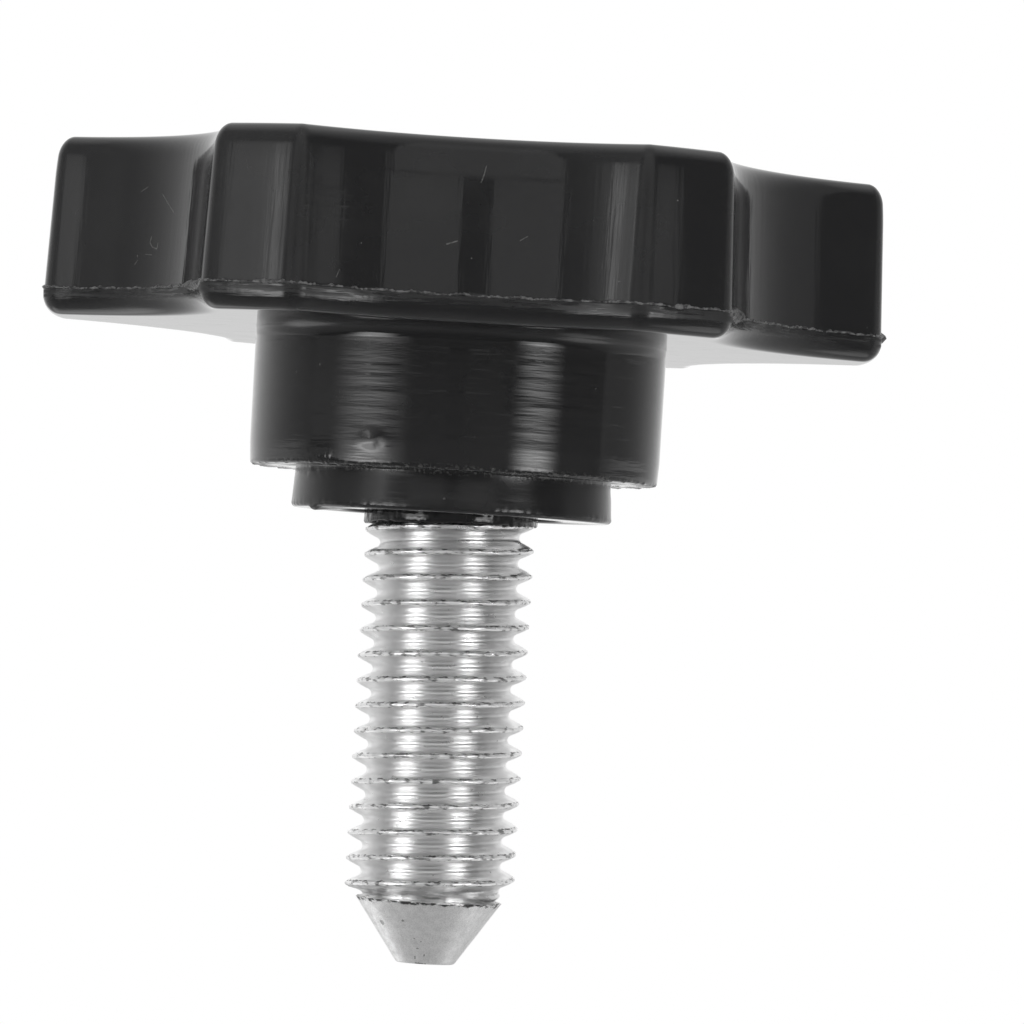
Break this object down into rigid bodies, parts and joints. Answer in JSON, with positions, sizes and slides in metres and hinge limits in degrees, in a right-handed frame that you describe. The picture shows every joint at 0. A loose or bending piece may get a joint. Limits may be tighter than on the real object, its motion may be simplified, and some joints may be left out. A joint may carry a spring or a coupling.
{
  "type": "star knob",
  "caption": "Star grip knob with a stepped hub and a cone-pointed threaded stud, for clamping, locking or adjusting by hand.",
  "frame": {"origin": "on the stud's axis, in the plane of the hub's seating face", "axes": "+Z along the axis, up through the grip; the stud points towards -Z; a scallop of the grip faces -Y"},
  "size_m": [0.058, 0.053, 0.0555],
  "materials": {
    "moulded_plastic": "glossy black moulding",
    "stud_steel": "bright rolled thread, matt turned point"
  },
  "bodies": {
    "root": {"knob_body": "moulded_plastic", "threaded_stud": "stud_steel"}
  },
  "joints": []
}
